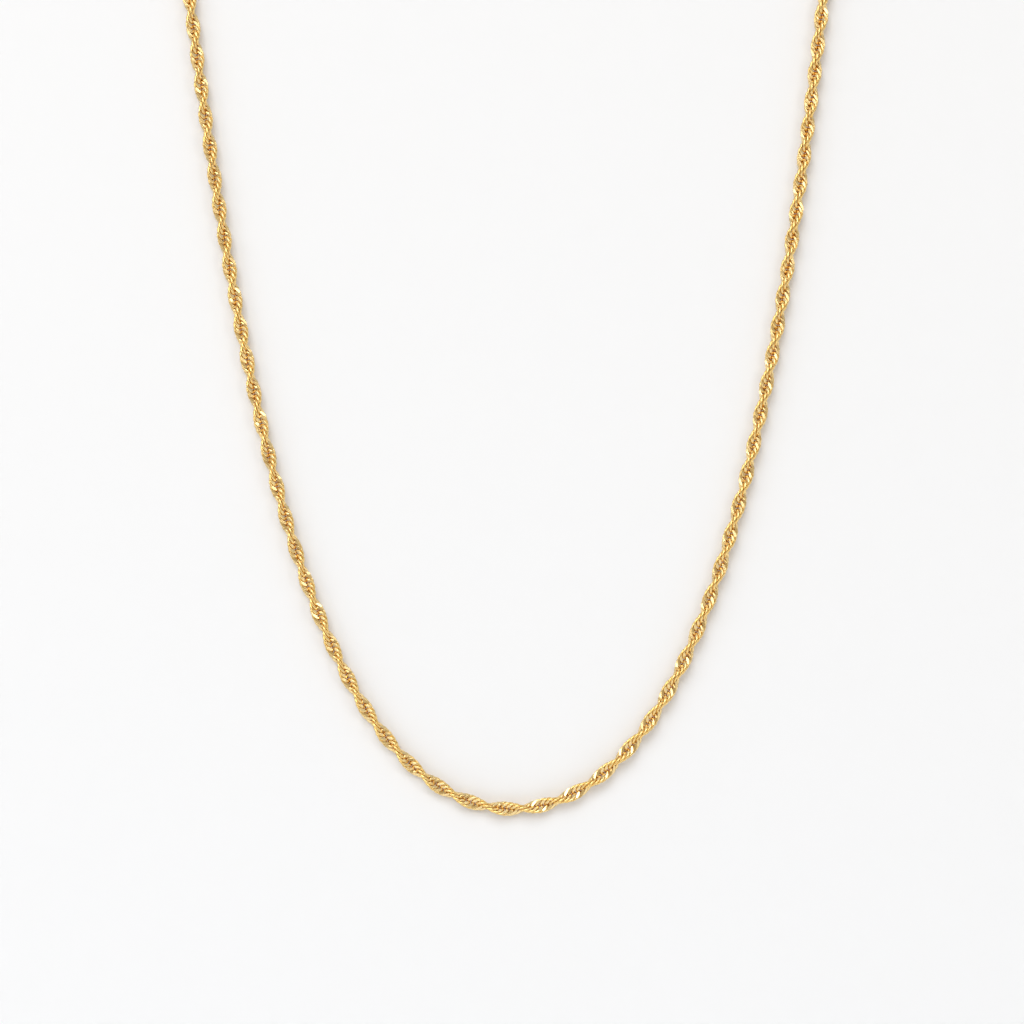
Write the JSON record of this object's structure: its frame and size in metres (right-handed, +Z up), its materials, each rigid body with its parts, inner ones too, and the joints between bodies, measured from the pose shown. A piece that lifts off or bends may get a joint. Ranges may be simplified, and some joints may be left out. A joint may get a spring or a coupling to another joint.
{
  "type": "singapore chain necklace",
  "caption": "Closed loop of twisted curb chain with flat-cut shiny links, joined by end rings and a plain ring clasp, hanging from a support.",
  "frame": {"origin": "the point on the support that the closed loop hangs from, under the middle of the clasp, level with the underside of the end rings", "axes": "+Z up along the hanging loop, +X to the right across the loop as seen from the front, +Y away from the viewer, through the loop"},
  "size_m": [0.0968, 0.006, 0.1822],
  "materials": {
    "chain_gold": "polished yellow gold with bright flat cuts on the links",
    "ring_gold": "polished yellow gold wire",
    "clasp_gold": "polished yellow gold"
  },
  "bodies": {
    "root": {"chain": "chain_gold", "end_ring_left": "ring_gold", "end_ring_right": "ring_gold", "clasp": "clasp_gold"}
  },
  "joints": []
}
